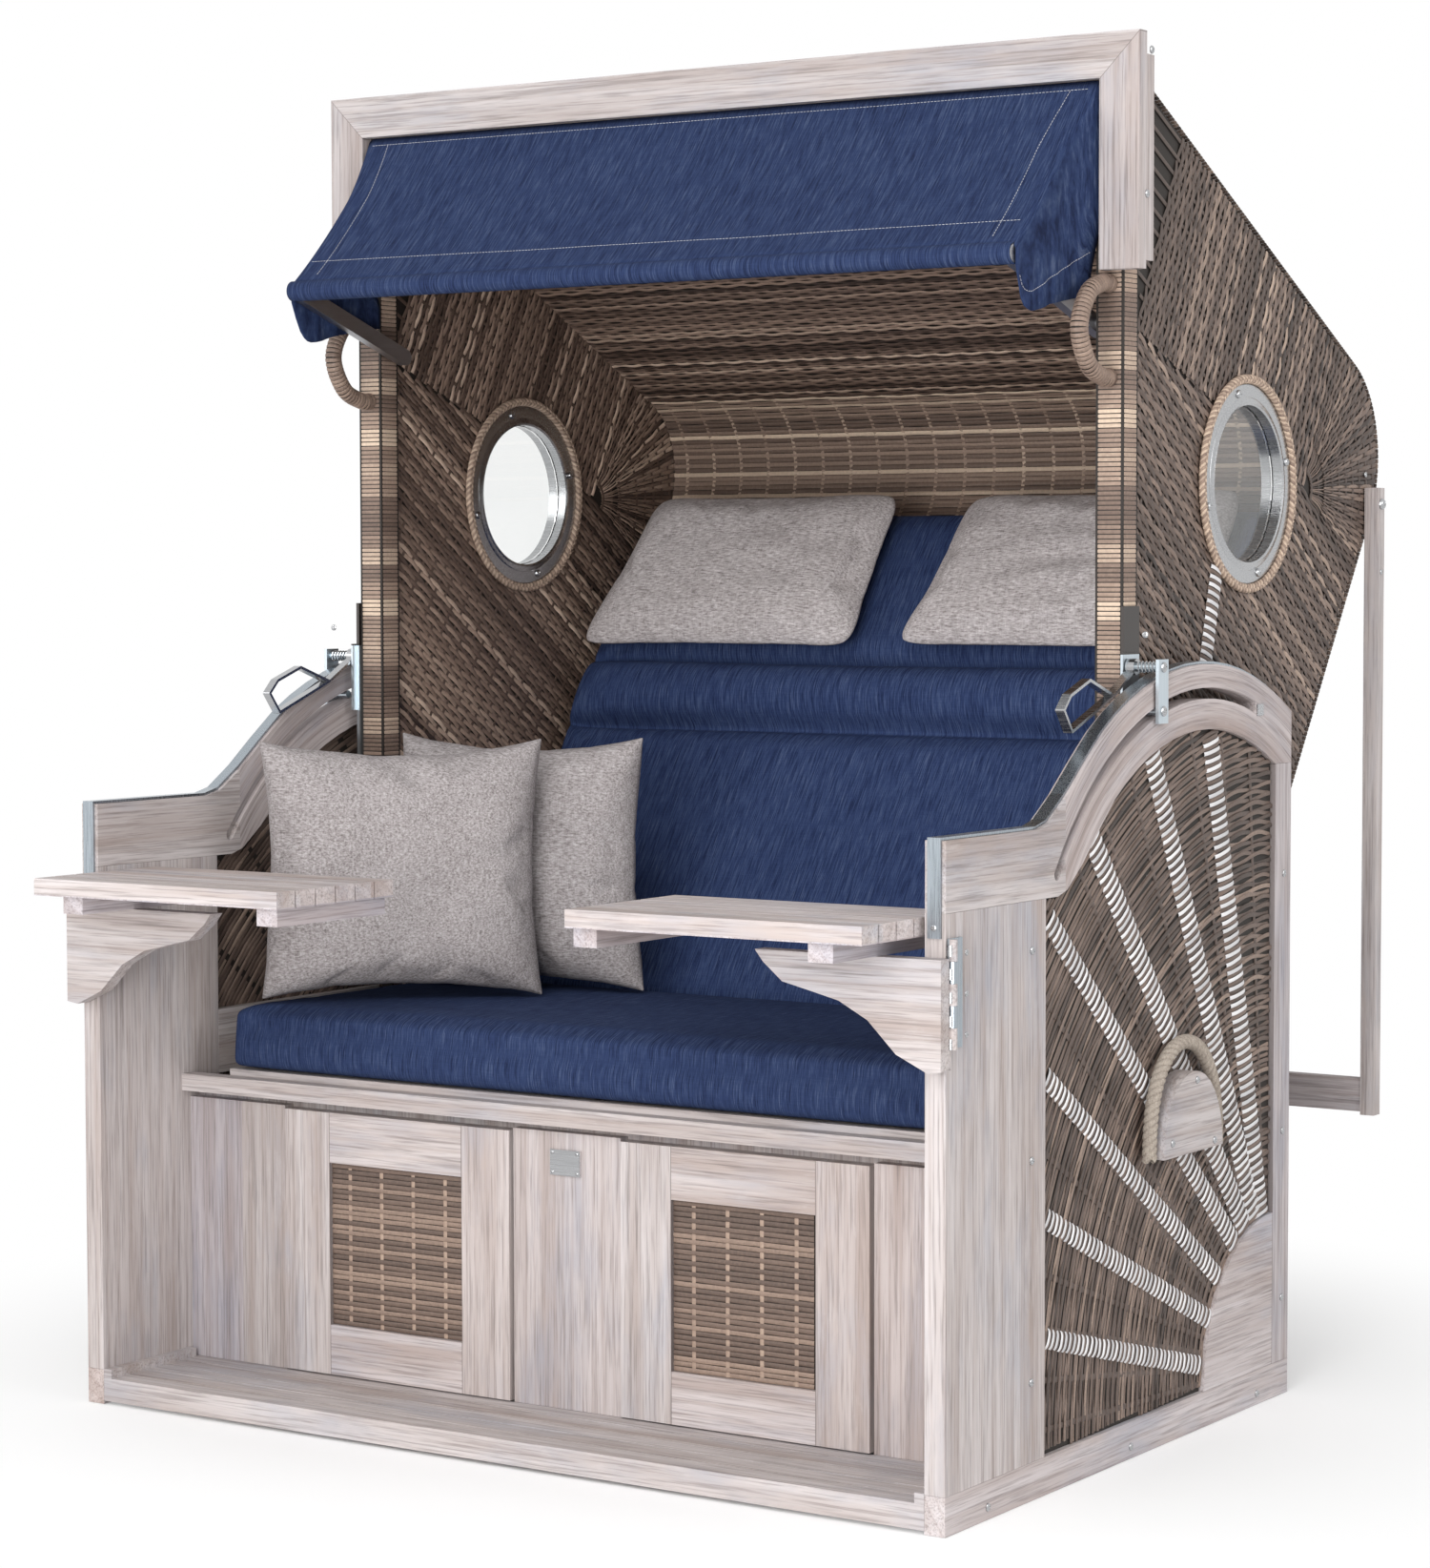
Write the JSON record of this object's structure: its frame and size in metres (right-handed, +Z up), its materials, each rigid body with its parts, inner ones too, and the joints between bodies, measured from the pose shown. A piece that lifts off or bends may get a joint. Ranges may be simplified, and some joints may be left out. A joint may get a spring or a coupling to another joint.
{
  "type": "hooded beach chair",
  "caption": "Two-seat hooded beach chair of timber and wicker with a reclining hood, awning, cushions, folding tables, drawers and a foot deck",
  "frame": {"origin": "under the middle of the whole chair, on the ground", "axes": "+X to the right seen from the front, +Y to the back, +Z up"},
  "size_m": [1.2446, 1.3172, 1.616],
  "materials": {
    "timber": "whitewashed weathered timber",
    "wicker": "woven brown cane",
    "winding": "flat cane wound round a core",
    "zinc": "bright zinc",
    "plastic": "matte grey",
    "navy_fabric": "dark blue melange cloth",
    "linen_fabric": "coarse grey-beige cloth",
    "rope": "twisted natural rope",
    "glass": "clear"
  },
  "bodies": {
    "base": {"base_frame": "timber", "front_board_left": "timber", "front_board_right": "timber", "arch_board_left": "timber", "arch_board_right": "timber", "rear_panel": "timber", "side_wicker_left": "wicker", "side_wicker_right": "wicker", "edge_strip_left": "zinc", "edge_strip_right": "zinc", "pivot_mount_left": "timber", "pivot_mount_right": "timber", "foot_deck": "timber", "front_panel": "timber", "seat_rail": "timber", "seat_slats": "timber", "handle_block_left": "timber", "handle_block_right": "timber", "handle_rope_left": "rope", "handle_rope_right": "rope", "table_hinge_left": "zinc", "table_hinge_right": "zinc", "seat_cushion": "navy_fabric", "throw_pillow_front": "linen_fabric", "throw_pillow_back": "linen_fabric"},
    "hood": {"hood_side_left": "wicker", "hood_side_right": "wicker", "hood_post_left": "winding", "hood_post_right": "winding", "hood_roof": "wicker", "hood_back": "wicker", "mouth_frame": "timber", "porthole_left": "zinc", "porthole_right": "zinc", "porthole_glass_left": "glass", "porthole_glass_right": "glass", "grab_handle_left": "winding", "grab_handle_right": "winding", "lock_bar_left": "zinc", "lock_bar_right": "zinc", "lock_spring_left": "zinc", "lock_spring_right": "zinc", "awning_cloth": "navy_fabric", "back_cushion": "navy_fabric", "headrest_pillow_left": "linen_fabric", "headrest_pillow_right": "linen_fabric"},
    "lever_left": {"lock_lever_left": "zinc"},
    "lever_right": {"lock_lever_right": "zinc"},
    "awning": {"awning_frame": "plastic"},
    "prop": {"prop_frame": "timber"},
    "drawer_left": {"drawer_front_left": "timber", "drawer_wicker_left": "wicker", "drawer_tray_left": "timber"},
    "drawer_right": {"drawer_front_right": "timber", "drawer_wicker_right": "wicker", "drawer_tray_right": "timber"},
    "table_left": {"table_top_left": "timber", "table_bracket_left": "timber"},
    "table_right": {"table_top_right": "timber", "table_bracket_right": "timber"}
  },
  "joints": [
    {"name": "hood_recline", "type": "hinge", "parent": "base", "child": "hood", "pos_m": [0, 0.06345, 0.42], "axis": [1, 0, 0], "range_deg": [-30, 28]},
    {"name": "lever_left_lift", "type": "hinge", "parent": "hood", "child": "lever_left", "pos_m": [-0.568, -0.05855, 0.898], "axis": [-1, 0, 0], "range_deg": [0, 45]},
    {"name": "lever_right_lift", "type": "hinge", "parent": "hood", "child": "lever_right", "pos_m": [0.568, -0.05855, 0.898], "axis": [-1, 0, 0], "range_deg": [0, 45]},
    {"name": "awning_fold", "type": "hinge", "parent": "hood", "child": "awning", "pos_m": [0, -0.04155, 1.29], "axis": [-1, 0, 0], "range_deg": [0, 45], "deforming": ["awning_cloth"]},
    {"name": "prop_swing", "type": "hinge", "parent": "hood", "child": "prop", "pos_m": [0, 0.62645, 1.092], "axis": [1, 0, 0], "range_deg": [-32, 45]},
    {"name": "drawer_left_slide", "type": "slide", "parent": "base", "child": "drawer_left", "axis": [0, -1, 0], "range_m": [0, 0.34]},
    {"name": "drawer_right_slide", "type": "slide", "parent": "base", "child": "drawer_right", "axis": [0, -1, 0], "range_m": [0, 0.34]},
    {"name": "table_left_swing", "type": "hinge", "parent": "base", "child": "table_left", "pos_m": [-0.609, -0.54155, 0.5705], "axis": [0, 0, -1], "range_deg": [0, 180]},
    {"name": "table_right_swing", "type": "hinge", "parent": "base", "child": "table_right", "pos_m": [0.609, -0.54155, 0.5705], "axis": [0, 0, 1], "range_deg": [0, 180]}
  ]
}
